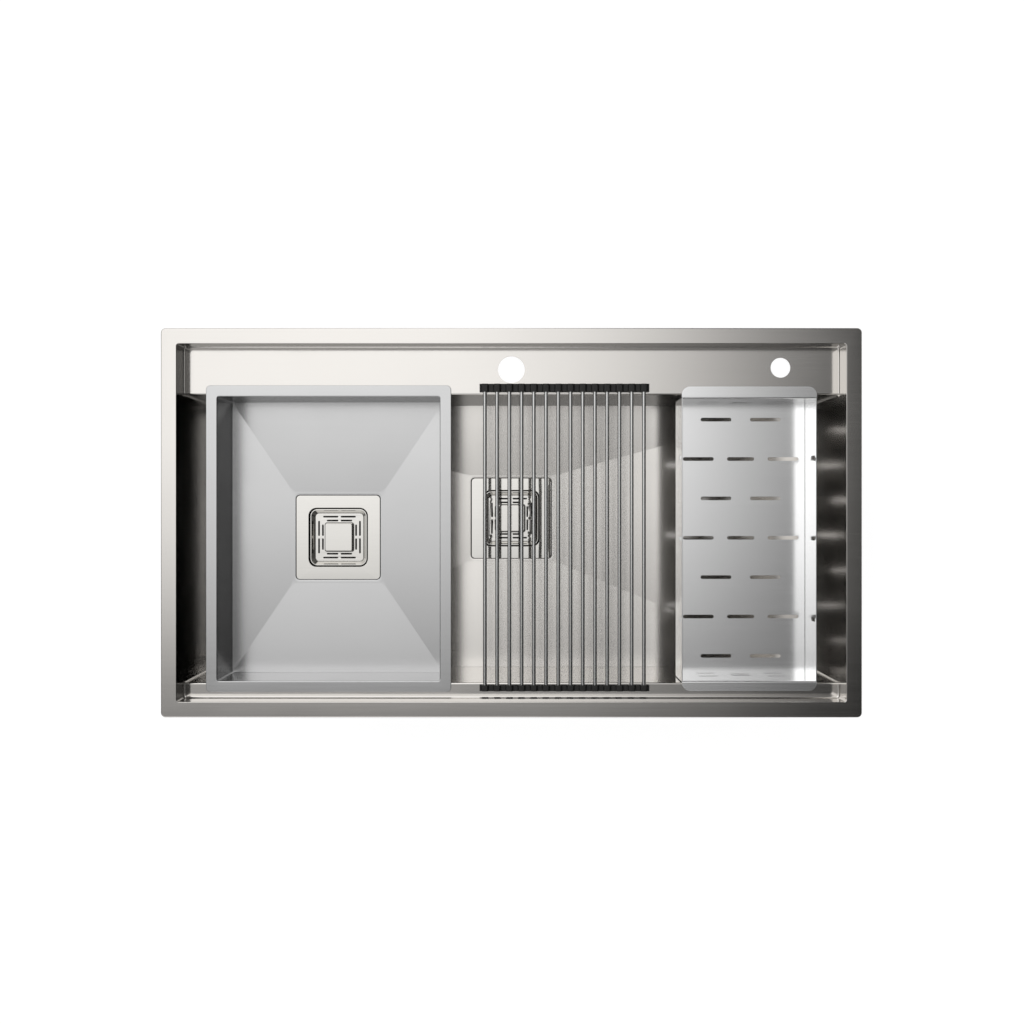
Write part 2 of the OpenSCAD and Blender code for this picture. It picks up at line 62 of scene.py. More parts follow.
# The sink is photographed from straight above, its front edge at the bottom of the picture. The
# camera hangs 1.8 m over the rim, a little behind the sink's middle.
overhead = bpy.data.objects.new("overhead_camera", bpy.data.cameras.new("overhead_camera"))
overhead.data.lens = 49.32
overhead.data.sensor_width = 36
overhead.location = (0.0008, 0.0138, 1.803)
scene.collection.objects.link(overhead)
scene.camera = overhead
scene.view_settings.view_transform = "Standard"


# The sink is lit by a wide soft canopy, brightest over its back left corner and falling away to the
# right and to the front, which is what grades the steel from white to grey. A gradient across the
# direction of the light stands for the canopy, and the camera itself sees plain white behind the sink.
def wire(tree, kind, feeds=None, **settings):
    """A node with its settings, and with each input joined to a socket or set to a value."""
    node = tree.nodes.new(kind)
    for key, value in settings.items():
        setattr(node, key, value)
    for key, value in (feeds or {}).items():
        if isinstance(value, bpy.types.NodeSocket):
            tree.links.new(value, node.inputs[key])
        else:
            node.inputs[key].default_value = value
    return node


def sums(tree, operation, *values):
    """One step of arithmetic on sockets or numbers."""
    return wire(tree, "ShaderNodeMath", dict(enumerate(values)), operation=operation).outputs[0]


def rescaled(tree, value, low, high, to_low=0.0, to_high=1.0):
    """The value's range from low to high, stretched to another range and held at its ends."""
    return wire(tree, "ShaderNodeMapRange", {
        "Value": value, "From Min": low, "From Max": high, "To Min": to_low, "To Max": to_high}).outputs[0]


def multiplied(tree, colour, other):
    return wire(tree, "ShaderNodeMix", {0: 1.0, 6: colour, 7: other},
                data_type="RGBA", blend_type="MULTIPLY").outputs[2]


def shade_card(tree, value, stops):
    """Grey that runs smoothly through the stops, each a place from 0 to 1 and a tone."""
    card = wire(tree, "ShaderNodeValToRGB", {"Fac": value})
    card.color_ramp.interpolation = "B_SPLINE"
    strip = card.color_ramp.elements
    while len(strip) < len(stops):
        strip.new(1)
    for mark, (place, tone) in zip(strip, stops):
        mark.position = place
        mark.color = (tone, tone, tone, 1)
    return card.outputs["Color"]


def seen_directly(tree):
    """One for a ray from the camera, nought for a ray that only lights the steel or is mirrored in it."""
    ray = wire(tree, "ShaderNodeLightPath")
    return sums(tree, "MAXIMUM", ray.outputs["Is Camera Ray"], ray.outputs["Is Transmission Ray"])


left_to_right_stops = [(0.0, 0.75), (0.28, 1.0), (0.46, 0.99), (0.54, 0.84), (0.6, 0.58), (0.66, 0.22),
                       (0.72, 0.03), (0.84, 0.05), (1.0, 0.14)]
front_to_back_stops = [(0.0, 0.8), (0.16, 0.6), (0.28, 0.18), (0.38, 0.18), (0.44, 0.54), (0.5, 0.84),
                       (0.57, 0.97), (1.0, 1.0)]
high_to_low_stops = [(0.0, 1.0), (0.72, 1.0), (0.8, 0.7), (0.88, 0.45), (1.0, 0.45)]
lowest_slope = 0.12
widest_slope = 0.6
canopy_strength = 1.61

canopy = bpy.data.worlds.new("light_canopy")
scene.world = canopy
canopy.use_nodes = True
sky = canopy.node_tree
sky.nodes.clear()
toward = wire(sky, "ShaderNodeSeparateXYZ", {0: wire(sky, "ShaderNodeTexCoord").outputs["Generated"]})
height = sums(sky, "MAXIMUM", toward.outputs[2], lowest_slope)
across = sums(sky, "DIVIDE", toward.outputs[0], height)
back = sums(sky, "DIVIDE", toward.outputs[1], height)
across = rescaled(sky, across, -widest_slope, widest_slope)
back = rescaled(sky, back, -widest_slope, widest_slope)
left_to_right = shade_card(sky, across, left_to_right_stops)
front_to_back = shade_card(sky, back, front_to_back_stops)
high_to_low = shade_card(sky, sums(sky, "ABSOLUTE", toward.outputs[0]), high_to_low_stops)
glow = multiplied(sky, multiplied(sky, left_to_right, front_to_back), high_to_low)
soft = wire(sky, "ShaderNodeBackground", {"Color": glow, "Strength": canopy_strength})
plain_white = wire(sky, "ShaderNodeBackground", {"Color": (1, 1, 1, 1), "Strength": 1.0})
chosen = wire(sky, "ShaderNodeMixShader",
              {0: seen_directly(sky), 1: soft.outputs[0], 2: plain_white.outputs[0]})
wire(sky, "ShaderNodeOutputWorld", {"Surface": chosen.outputs[0]})


# The sink stands on white studio paper that reaches out of the picture on all sides. The paper is lit
# to an even white for the camera, and is plain matt white for the light that comes off it.
half_sheet = 9
paper = bpy.data.meshes.new("studio_paper")
paper.from_pydata([(-half_sheet, -half_sheet, 0), (half_sheet, -half_sheet, 0),
                   (half_sheet, half_sheet, 0), (-half_sheet, half_sheet, 0)], [], [(0, 1, 2, 3)])
floor = bpy.data.objects.new("studio_paper", paper)
floor.location.z = cad_low.z - 0.0005
scene.collection.objects.link(floor)
white = bpy.data.materials.new("studio_paper")
white.use_nodes = True
coat = white.node_tree
coat.nodes.clear()
matt = wire(coat, "ShaderNodeBsdfDiffuse", {"Color": (0.8, 0.8, 0.8, 1)})
faint = wire(coat, "ShaderNodeBsdfDiffuse", {"Color": (0.25, 0.25, 0.25, 1)})
even_light = wire(coat, "ShaderNodeEmission", {"Color": (1, 1, 1, 1), "Strength": 0.9})
lit = wire(coat, "ShaderNodeAddShader", {0: even_light.outputs[0], 1: faint.outputs[0]})
chosen = wire(coat, "ShaderNodeMixShader", {0: seen_directly(coat), 1: matt.outputs[0], 2: lit.outputs[0]})
wire(coat, "ShaderNodeOutputMaterial", {"Surface": chosen.outputs[0]})
paper.materials.append(white)


# The sink itself is one welded body of 1.5 mm sheet: a rim with rolled edges, upright walls, a back
# deck and a front ledge 40 mm down, and a bowl with a creased floor. The sheet is brushed along the
# sink's length before it is cut and folded. Sizes are in millimetres, heights from the worktop.
def brushed_steel(name, tone, sheen, grain=0.02, smudge=0.02, strokes=420, relief=1e-5):
    """Metal brushed along its length, or along its depth where it faces sideways. Its sheen, a
    roughness, varies by grain from stroke to stroke and by smudge in wide soft patches."""
    along_a_stroke = 4
    faces_aside = 0.7
    tone_change = 0.015
    steel = bpy.data.materials.new(name)
    steel.use_nodes = True
    t = steel.node_tree
    shader = t.nodes["Principled BSDF"]
    shader.inputs["Metallic"].default_value = 1.0
    place = wire(t, "ShaderNodeTexCoord").outputs["Object"]
    facing = wire(t, "ShaderNodeSeparateXYZ", {0: wire(t, "ShaderNodeNewGeometry").outputs["Normal"]})
    sideways = sums(t, "GREATER_THAN", sums(t, "ABSOLUTE", facing.outputs[0]), faces_aside)
    along_x = wire(t, "ShaderNodeMapping", {"Vector": place, "Scale": (along_a_stroke, strokes, strokes)})
    along_y = wire(t, "ShaderNodeMapping", {"Vector": place, "Scale": (strokes, along_a_stroke, strokes)})
    combed = wire(t, "ShaderNodeMix", {0: sideways, 4: along_x.outputs[0], 5: along_y.outputs[0]},
                  data_type="VECTOR").outputs[1]
    lines = wire(t, "ShaderNodeTexNoise", {"Vector": combed, "Scale": 2.2, "Detail": 4.0}).outputs[0]
    hand = wire(t, "ShaderNodeTexNoise", {"Vector": place, "Scale": 6.0, "Detail": 3.0}).outputs[0]
    streaky = rescaled(t, lines, 0.3, 0.7, sheen - grain, sheen + grain)
    cloudy = rescaled(t, hand, 0.35, 0.65, -smudge, smudge)
    t.links.new(sums(t, "ADD", streaky, cloudy), shader.inputs["Roughness"])
    tint = rescaled(t, lines, 0.3, 0.7, 1 - tone_change, 1 + tone_change)
    t.links.new(multiplied(t, (*tone, 1), tint), shader.inputs["Base Color"])
    bumps = wire(t, "ShaderNodeBump", {"Height": lines, "Strength": 0.3, "Distance": relief})
    t.links.new(bumps.outputs[0], shader.inputs["Normal"])
    return steel


def finish_in(material, *nodes):
    """Gives CAD parts that keep their own shape a finish."""
    for node in nodes:
        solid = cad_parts[node]
        solid.data.materials.clear()
        solid.data.materials.append(material)


def outline(w, d, r, arcs):
    """Rounded rectangle about its own middle, with so many steps in each corner."""
    loop = []
    for sx, sy, turn in ((1, 1, 0), (-1, 1, 90), (-1, -1, 180), (1, -1, 270)):
        for k in range(arcs + 1):
            a = math.radians(turn + 90 * k / arcs)
            loop.append((sx * (w / 2 - r) + r * math.cos(a), sy * (d / 2 - r) + r * math.sin(a)))
    return loop


def grown(plan, by, z):
    """A plan of width, depth and corner radius, moved outwards all round and set at a height."""
    w, d, r = plan
    return (w + 2 * by, d + 2 * by, r + by, z)


def fold(start, end, steps, about, out, up=None):
    """A bend in the sheet, from one angle to another round the plan and height given by about. Its
    radius is out, and up is its height where that isn't the same."""
    w, d, r, z = about
    path = []
    for k in range(steps + 1):
        a = math.radians(start + (end - start) * k / steps)
        inset = out * math.cos(a)
        path.append((w + 2 * inset, d + 2 * inset, max(r + inset, 0.3), z + (up or out) * math.sin(a)))
    return path


def squares(level, *rows):
    """Rounded squares, each given as its width, its corner radius and its height from a level."""
    return [(w, w, r, level + z) for w, r, z in rows]


def skin(bm, rows, wrap=True):
    """Faces from each row of points to the next one."""
    for low, high in zip(rows, rows[1:]):
        for k in range(len(low) if wrap else len(low) - 1):
            n = (k + 1) % len(low)
            bm.faces.new([bm.verts.new(spot) for spot in (low[k], low[n], high[n], high[k])])


def lid(bm, row):
    bm.faces.new([bm.verts.new(spot) for spot in row])


def bar(bm, rows):
    """Solid through the rows, closed at both of its ends."""
    skin(bm, rows)
    lid(bm, rows[0])
    lid(bm, rows[-1])


def pressed(bm, hoops, centre, sheet=True, arcs=8, upright=True):
    """Rounded rectangles joined in their order: a sheet's whole section, which comes back to its first
    one, or else a solid with two flat ends. The centre is one point, or one for each rectangle."""
    rows = []
    for at, (w, d, r, z) in enumerate(hoops):
        cx, cy = centre[at] if isinstance(centre, list) else centre
        loop = outline(w, d, r, arcs)
        rows.append([(u + cx, v + cy, z) if upright else (u + cx, z, v + cy) for u, v in loop])
    if sheet:
        skin(bm, rows + rows[:1])
    else:
        bar(bm, rows)
    return bm


def piece_of(bm, name, body, material, stands_for=(), corner=35):
    """Turns a shape drawn in millimetres into a finished piece that rides on one body, or that is left where
    it was drawn when it is given two bodies and a bend."""
    bmesh.ops.remove_doubles(bm, verts=bm.verts, dist=0.002)
    bmesh.ops.dissolve_degenerate(bm, dist=0.001, edges=bm.edges)
    bmesh.ops.recalc_face_normals(bm, faces=bm.faces)
    mesh = bpy.data.meshes.new(name)
    bm.to_mesh(mesh)
    bm.free()
    mesh.transform(Matrix.Scale(0.001, 4))
    mesh.polygons.foreach_set("use_smooth", [True] * len(mesh.polygons))
    mesh.set_sharp_from_angle(angle=math.radians(corner))
    mesh.materials.append(material)
    piece = bpy.data.objects.new(name, mesh)
    scene.collection.objects.link(piece)
    even = piece.modifiers.new("even", "WEIGHTED_NORMAL")
    even.keep_sharp = True
    if isinstance(body, str):
        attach(piece, body)
    else:
        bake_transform(piece)
    if stands_for:
        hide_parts(*stands_for)


sink_steel = brushed_steel("sink_brushed_steel", (0.6, 0.58, 0.554), sheen=0.11, relief=1e-6)
floor_steel = brushed_steel("floor_brushed_steel", (0.66, 0.638, 0.609), sheen=0.15,
                            grain=0.01, smudge=0.01, relief=2e-7)
finish_in(sink_steel, "upper_walls", "back_deck", "front_ledge")

gauge = 1.5
rim = (900, 500, 6)
well = (860, 460, 3.5)
rim_top = 3
inner_bend = 0.7
section = [grown(well, 0, 1)]
section += fold(180, 90, 5, grown(well, inner_bend, rim_top - inner_bend), inner_bend)
section += fold(90, 0, 5, grown(rim, -gauge, rim_top - gauge), gauge)
section += [grown(rim, 0, 0), grown(rim, -gauge, 0), grown(rim, -gauge, rim_top - gauge)]
section += [grown(well, gauge + 0.3, rim_top - gauge), grown(well, gauge, 1.2), grown(well, gauge, 1)]
piece_of(pressed(bmesh.new(), section, (0, 0)), "rolled_rim", "sink", sink_steel,
         ("rim_frame",))

# The bowl's floor is four flat faces that are creased where they meet and fall 4 mm to a sunk square
# for the waste, a little behind the middle. Its outer edge is bent up into the walls, and the
# walls go up to the deck and the ledge.
drain = 124
bowl = (860, 377.5, 3.5)
bowl_floor, bowl_fall = -230, 4
bowl_middle, waste_middle = -21.25, 4.75
tight = 0.3


def sunk_square(floor):
    """The hollow that a waste's plate lies in, so that the plate is level with the floor."""
    return squares(floor, (86, 13.5, -3.2), (115, 4.5, -3.2), (116.4, 5.2, -2.8), (117, 5.5, -2.2),
                   (117, 5.5, -0.6), (117.4, 5.7, -0.15), (118.4, 6.2, 0))


def creased(plan, floor, fall, corners):
    """The floor's four faces, as outlines at shares of the way from the sunk square to the wall. Each
    of the corners is such a share and the outline's corner radius there."""
    w, d, _ = plan
    return [(drain + (w - drain) * share, drain + (d - drain) * share, r, floor + fall * share)
            for share, r in corners]


def bowl_centre(width):
    """The floor's outlines shift from the waste's middle to the bowl's as they widen."""
    share = min(max((width - drain) / (bowl[0] - drain), 0), 1)
    return (0, waste_middle - (waste_middle - bowl_middle) * share)


slopes = creased(bowl, bowl_floor, bowl_fall, (
    (0, 6), (0.004, 5), (0.02, 1.2), (0.1, 0.8), (0.3, 0.8), (0.5, 0.8), (0.7, 0.8), (0.9, 0.8),
    (0.985, 1.4), (0.998, 3)))
section = sunk_square(bowl_floor) + slopes
section += [(w, d, r, z - gauge) for w, d, r, z in slopes[::-1]]
section += squares(bowl_floor, (120, 7, -1.6), (120, 7, -4), (119, 6.5, -4.7), (86, 13.5, -4.7))
piece_of(pressed(bmesh.new(), section, [bowl_centre(w) for w, d, r, z in section]),
         "bowl_pan", "sink", floor_steel, ("bowl_floor",))

wall_foot, wall_top = -218, -39
cove = grown(bowl, -tight, bowl_floor + bowl_fall + tight)
w, d, r, z = slopes[-1]
section = [(w, d, r, z)] + fold(-90, 0, 4, cove, tight)
section += [grown(bowl, 0, wall_foot), grown(bowl, 0, wall_top)]
section += [grown(bowl, gauge, wall_top), grown(bowl, gauge, cove[3])]
section += fold(0, -90, 4, cove, tight + gauge)[1:] + [(w, d, r, z - gauge)]
piece_of(pressed(bmesh.new(), section, [bowl_centre(w) for w, d, r, z in section]),
         "bowl_sides", "sink", sink_steel, ("bowl_walls", "bowl_corners"))


# Where the deck and the ledge meet the upright walls, the sink is welded and the weld is ground to a
# small hollow, which is wider along the ledge.
def ground_weld(start, way, hollow):
    """A weld round one end of the well, from start on both sides, towards the back or the front."""
    shelf = -37
    corner = [math.radians(t) for t in range(0, 91, 15)]
    ground = [math.radians(10 * k) for k in range(10)]
    face = [(0, 0)] + [(hollow - hollow * math.cos(a), hollow - hollow * math.sin(a)) for a in ground]
    rows = []
    for inset, rise in face:
        side, end, r = well[0] / 2 - inset, well[1] / 2 - inset, well[2] - inset
        run = [(side, start)]
        run += [(side - r + r * math.cos(t), way * (end - r + r * math.sin(t))) for t in corner]
        rows.append([(x, y, rise + shelf) for x, y in run + [(-x, y) for x, y in run[::-1]]])
    weld = bmesh.new()
    bar(weld, [list(section) for section in zip(*rows)])
    return weld


deck_front, ledge_back = 169.4, -211.8
piece_of(ground_weld(deck_front, 1, 1.2), "deck_weld", "sink", sink_steel)
piece_of(ground_weld(ledge_back, -1, 2), "ledge_weld", "sink", sink_steel)


# Under the rim a foam strip seals the sink to the worktop, and twelve plated clips hang on the outer
# walls; a slotted screw in each presses its round foot up under the worktop. Rubber pads glued to the
# outside of the bowl deaden it.
def soft_skin(name, tone, rough, grain, depth, cells=False):
    """Rubber, foam or silicone, with a fine texture and a wider change of tone from wear."""
    gloss_change = 0.08
    rubber = bpy.data.materials.new(name)
    rubber.use_nodes = True
    t = rubber.node_tree
    shader = t.nodes["Principled BSDF"]
    place = wire(t, "ShaderNodeTexCoord").outputs["Object"]
    if cells:
        fine = wire(t, "ShaderNodeTexVoronoi", {"Vector": place, "Scale": grain}).outputs["Distance"]
    else:
        fine = wire(t, "ShaderNodeTexNoise", {"Vector": place, "Scale": grain, "Detail": 5.0}).outputs[0]
    broad = wire(t, "ShaderNodeTexNoise", {"Vector": place, "Scale": 14.0, "Detail": 3.0}).outputs[0]
    worn = rescaled(t, broad, 0.3, 0.7, 0.75, 1.3)
    t.links.new(multiplied(t, (*tone, 1), worn), shader.inputs["Base Color"])
    dull = rescaled(t, fine, 0.3, 0.7, rough - gloss_change, rough + gloss_change)
    t.links.new(dull, shader.inputs["Roughness"])
    pores = wire(t, "ShaderNodeBump", {"Height": fine, "Strength": 0.5, "Distance": depth})
    t.links.new(pores.outputs[0], shader.inputs["Normal"])
    return rubber


def ease_edges(width, *nodes):
    """Rounds the sharp edges of CAD parts by a width in millimetres."""
    for node in nodes:
        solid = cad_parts[node]
        joined = solid.modifiers.new("joined", "WELD")
        joined.merge_threshold = 0.00002
        eased = solid.modifiers.new("eased", "BEVEL")
        eased.width = width / 1000
        eased.segments = 2
        eased.limit_method = "ANGLE"
        eased.angle_limit = math.radians(40)
        even = solid.modifiers.new("even", "WEIGHTED_NORMAL")
        even.keep_sharp = True


def ring(x, y, r, z, around):
    return [(x + r * math.cos(a), y + r * math.sin(a), z)
            for a in [2 * math.pi * k / around for k in range(around)]]


def thread(bm, x, y, low, high, crest, root, pitch, around=20, bore=0):
    """Screw thread on a helical grid that runs out at both ends, solid or with a bore through it."""
    quarters = (crest, crest, root, root)
    rows = []
    for j in range(int((high - low) / pitch + 2) * 4 + 2):
        row = []
        for k in range(around + 1):
            z = low + (j / 4 - 1 + k / around) * pitch
            run_out = min(max(min(z - low, high - z) / pitch, 0), 1)
            r = root + (quarters[j % 4] - root) * run_out
            a = 2 * math.pi * k / around
            row.append((x + r * math.cos(a), y + r * math.sin(a), min(max(z, low), high)))
        rows.append(row)
    skin(bm, rows, wrap=False)
    ends = [ring(x, y, root, z, around) for z in (low, high)]
    if bore:
        inner = [ring(x, y, bore, z, around) for z in (low, high)]
        skin(bm, [ends[0], inner[0], inner[1], ends[1]])
    else:
        lid(bm, ends[0])
        lid(bm, ends[1])


def turned(bm, x, y, profile, around=48):
    """Round solid on an upright axis, given by its section, a radius and a height at each point."""
    bar(bm, [ring(x, y, r, z, around) for r, z in profile])


plated_steel = brushed_steel("zinc_plated_steel", (0.45, 0.45, 0.45), sheen=0.35,
                             grain=0.05, smudge=0.06, strokes=260, relief=2e-5)
finish_in(plated_steel, "clip_brackets")
ease_edges(0.3, "clip_brackets")

m5 = {"crest": 2.5, "root": 2.05, "pitch": 0.8, "around": 16}
from_wall = 9
head_radius, head_level = 4.5, -59.6
half_slot, chamfer = 0.6, 0.9
one_screw = bmesh.new()
turned(one_screw, 0, from_wall, [(0.4, -33.6), (2.6, -33.6), (3.2, -33), (4.4, -33), (5, -33.5), (5, -34.6),
                                 (4.6, -35), (0.4, -35)])
thread(one_screw, 0, from_wall, head_level, -34.8, **m5)
turned(one_screw, 0, from_wall, [(0.4, -58), (4.1, -58), (head_radius, -58.4), (head_radius, head_level),
                                 (0.4, head_level)])
for side in (-1, 1):
    half = [(head_radius * math.cos(a), side * head_radius * math.sin(a))
            for a in [math.radians(t) for t in range(8, 173, 12)]]
    small = [(u * chamfer, side * half_slot + (v - side * half_slot) * chamfer) for u, v in half]
    bar(one_screw, [[(u, from_wall + v, z) for u, v in loop]
                    for loop, z in ((half, head_level), (half, -60.6), (small, -61))])
screw = bpy.data.meshes.new("one_screw")
one_screw.to_mesh(screw)
one_screw.free()

long_pitch, short_pitch = well[0] / 4.2, 230
clips = [(k * long_pitch, well[1] / 2 + gauge, turn) for k in (-1.5, -0.5, 0.5, 1.5) for turn in (0, 180)]
clips += [(k * short_pitch, well[0] / 2 + gauge, turn) for k in (-0.5, 0.5) for turn in (90, 270)]
all_screws = bmesh.new()
for along, out, turn in clips:
    before = len(all_screws.verts)
    all_screws.from_mesh(screw)
    all_screws.verts.ensure_lookup_table()
    where = Matrix.Rotation(math.radians(turn), 4, "Z") @ Matrix.Translation((along, out, 0))
    bmesh.ops.transform(all_screws, matrix=where, verts=all_screws.verts[before:])
piece_of(all_screws, "slotted_screws", "sink", plated_steel, ("clip_screws",))

foam = soft_skin("seal_foam", (0.05, 0.05, 0.052), rough=0.85, grain=900, depth=3e-4, cells=True)
finish_in(foam, "rim_seal")
grey_rubber = soft_skin("grey_rubber", (0.16, 0.16, 0.165), rough=0.7, grain=500, depth=1e-4)
finish_in(grey_rubber, "sound_pads")
ease_edges(0.8, "sound_pads")


# Each waste is a square plate with a pressed cup below it, and its polished face lies level with the
# floor; four studs, a clamping frame and nuts pull it down on its gasket, and the outlet with its pipe
# thread is welded on below. The bowl and the loose basin have one each.
plate = (116, 116, 5)
mouth = (81.4, 81.4, 11.2)
kit_gauge = 1.2
edge = kit_gauge / 2
stud_out, stud_end, nut_level = 48, -14.5, -10.5
cup_mouth, cup_bottom = -9, -35.2


def waste_plate(x, y, top, sheet):
    """Square plate with a rounded mouth, its edge turned down, and a stud welded under each corner."""
    section = [grown(mouth, 0, top + cup_mouth)] + fold(180, 90, 5, grown(mouth, edge, top - edge), edge)
    section += fold(90, 0, 4, grown(plate, -edge, top - edge), edge)
    section += [grown(plate, 0, top - 2), grown(mouth, 1.5, top - 2)]
    section += [grown(mouth, kit_gauge, top - 2.4), grown(mouth, kit_gauge, top + cup_mouth)]
    shape = pressed(bmesh.new(), section, (x, y))
    for sx in (-stud_out, stud_out):
        for sy in (-stud_out, stud_out):
            thread(shape, x + sx, y + sy, top + stud_end - sheet, top - 1.9, **m5)
    return shape


def waste_cup(x, y, top):
    """The cup, from the round hole over the outlet up its inside to the mouth and down its outside."""
    section = squares(top, (42, 20.9, -34), (53, 12, -34)) + fold(-60, 0, 4, (61, 61, 2.5, top - 28), 4)
    section += squares(top, (67.6, 6, -17), (69.4, 6.6, -15.6)) + [grown(mouth, 0, top + cup_mouth)]
    section += [grown(mouth, kit_gauge, top + cup_mouth)] + squares(top, (83.6, 12.2, -9.8), (71.4, 7.7, -17))
    section += squares(top, (71.4, 7.7, -28.6), (69.5, 6.7, -33))
    section += squares(top, (64, 5.5, cup_bottom), (42, 20.9, cup_bottom))
    return pressed(bmesh.new(), section, (x, y))


def threaded_outlet(x, y, top, length):
    """Outlet with a one and a half inch pipe thread and a plain bore."""
    shape = bmesh.new()
    thread(shape, x, y, top + cup_bottom - length, top + cup_bottom, 23.9, 22.7, 2.309, 64, bore=21)
    return shape


def hex_nuts(x, y, low):
    """Four nuts, each drawn round its stud as six flats whose corners are turned off at both faces."""
    half_flats, nut_height, around = 3.984, 4, 48
    turned_off = 0.577
    shape = bmesh.new()
    for sx in (-stud_out, stud_out):
        for sy in (-stud_out, stud_out):
            rows = [[], [], [], [], [], []]
            for k in range(around):
                a = 2 * math.pi * k / around
                reach = half_flats / math.cos((a % (math.pi / 3)) - math.pi / 6)
                drop = (reach - half_flats) * turned_off
                section = ((2.55, 0), (3.95, 0), (reach, drop), (reach, nut_height - drop),
                           (3.95, nut_height), (2.55, nut_height))
                for row, (r, z) in zip(rows, section):
                    row.append((x + sx + r * math.cos(a), y + sy + r * math.sin(a), low + z))
            skin(shape, rows + rows[:1])
    return shape


waste_steel = brushed_steel("waste_bright_steel", (0.621, 0.607, 0.579), sheen=0.035,
                            grain=0.008, smudge=0.006, strokes=500, relief=1e-7)
# The cups and the knobs' seats get a dark dull steel that is painted shade: it makes the basket's slots read
# black and draws a shadow line round each knob.
shade_dark_steel = brushed_steel("painted_shade_dull_steel", (0.2, 0.195, 0.19), sheen=0.42,
                          grain=0.03, smudge=0.04, strokes=300, relief=4e-6)
silicone = soft_skin("black_silicone", (0.0095, 0.009, 0.0082), rough=0.5, grain=700, depth=3e-5)

basin_middle = (-239.5, -21.25)
basin_floor, basin_gauge = -137, 1.2
main_place = (0, waste_middle, bowl_floor + 0.3)
basin_place = (*basin_middle, basin_floor + 0.3)
for who, (x, y, top), body, sheet, length in (("main", main_place, "sink", gauge, 30),
                                              ("basin", basin_place, "basin", basin_gauge, 18)):
    piece_of(waste_plate(x, y, top, sheet), who + "_waste_plate", body, waste_steel,
             (who + "_flange",))
    # The cup is given the dark steel, painted shade where it shows through the basket's slots.
    piece_of(waste_cup(x, y, top), who + "_waste_cup", body, shade_dark_steel)
    piece_of(threaded_outlet(x, y, top, length), who + "_threaded_outlet", body, waste_steel,
             (who + "_outlet",))
    piece_of(hex_nuts(x, y, top + nut_level - sheet), who + "_hex_nuts", body, plated_steel,
             (who + "_nuts",), corner=25)
    finish_in(plated_steel, who + "_frame")
    ease_edges(0.4, who + "_frame")
    finish_in(silicone, who + "_gasket")


# The strainers lift out: a pressed basket with sixteen slots in two squares, a square knob for the fingers on
# a thin dark seat that is a painted shadow line round the knob's foot, and on the knob's stem a soft plug
# that closes the outlet.
def cut_sheet(edge_line, holes, thick, ease):
    """Flat sheet with holes cut through it and its edges eased, centred on its own thickness."""
    flat = bpy.data.curves.new("flat", "CURVE")
    flat.dimensions = "2D"
    flat.fill_mode = "BOTH"
    flat.extrude = thick / 2 - ease
    flat.bevel_depth = ease
    flat.bevel_resolution = 1
    flat.offset = -ease
    for loop in [edge_line] + holes:
        line = flat.splines.new("POLY")
        line.points.add(len(loop) - 1)
        for spot, (u, v) in zip(line.points, loop):
            spot.co = (u, v, 0, 1)
        line.use_cyclic_u = True
    drawn = bpy.data.objects.new("flat", flat)
    made = bpy.data.meshes.new_from_object(drawn)
    bpy.data.objects.remove(drawn)
    return made


def long_hole(u, v, length, width, across=False):
    """Outline of a slot with round ends about a point, along the first direction or across it."""
    run, r = (length - width) / 2, width / 2
    turn = [math.radians(t) for t in range(-90, 91, 22)]
    loop = [(run + r * math.cos(a), r * math.sin(a)) for a in turn]
    loop += [(-p, -q) for p, q in loop]
    return [(u - q, v + p) for p, q in loop] if across else [(u + p, v + q) for p, q in loop]


def basket_sides(x, y, top):
    """The basket's sloped walls, from the floor's edge up over the rolled ring and down the outside."""
    ring_centre = (77.4, 77.4, 9.4, top - 4.4)
    section = squares(top, (66, 4.7, -16), (66, 4.7, -14.8))
    section += fold(-90, -20, 3, (66.6, 66.6, 5, top - 14.2), 0.6) + squares(top, (74.8, 8.1, -4.7))
    section += fold(150, 90, 3, (75.8, 75.8, 8.6, top - 4.4), 0.5) + fold(90, -90, 6, ring_centre, 0.5)
    section += squares(top, (76.4, 8.9, -5.2), (75.6, 8.6, -6), (69.4, 5.8, -14.6))
    section += fold(-20, -90, 3, (67, 67, 5, top - 14.6), 1.2, 1.4)
    return pressed(bmesh.new(), section, (x, y))


def basket_floor(x, y, top):
    """The basket's floor, with an outer and an inner square of slots, two to each side."""
    floor_side, slit = 67, 2.3
    holes = []
    for side in (-1, 1):
        for half in (-1, 1):
            for away, at, long in ((28.5, 12.2, 21), (23.1, 9.65, 15.9)):
                holes.append(long_hole(half * at, side * away, long, slit))
                holes.append(long_hole(side * away, half * at, long, slit, True))
    shape = bmesh.new()
    shape.from_mesh(cut_sheet(outline(floor_side, floor_side, 5.2, 8), holes, kit_gauge, 0.1))
    bmesh.ops.translate(shape, vec=(x, y, top - 15.4), verts=shape.verts)
    return shape


def knob_shadow_seat(x, y, top):
    """A thin square that the knob stands on, a little wider than the knob: a painted shadow line round its
    foot.
    """
    seat = squares(top, (36, 2, -14.9), (41.2, 3.4, -14.9), (41.2, 3.4, -14.55), (36, 2, -14.55))
    return pressed(bmesh.new(), seat, (x, y))


def square_knob(x, y, top):
    """A solid knob that narrows upwards to a rounded edge, on a turned stem."""
    section = squares(top, (39.6, 2.8, -14.8), (40, 3, -14.5), (37, 1.9, -4.5))
    section += fold(20, 90, 4, (36, 36, 1.4, top - 4), 0.5)
    shape = pressed(bmesh.new(), section, (x, y), sheet=False)
    turned(shape, x, y, [(3.6, top - 32.5), (4, top - 32.1), (4, top - 14.4)], 32)
    return shape


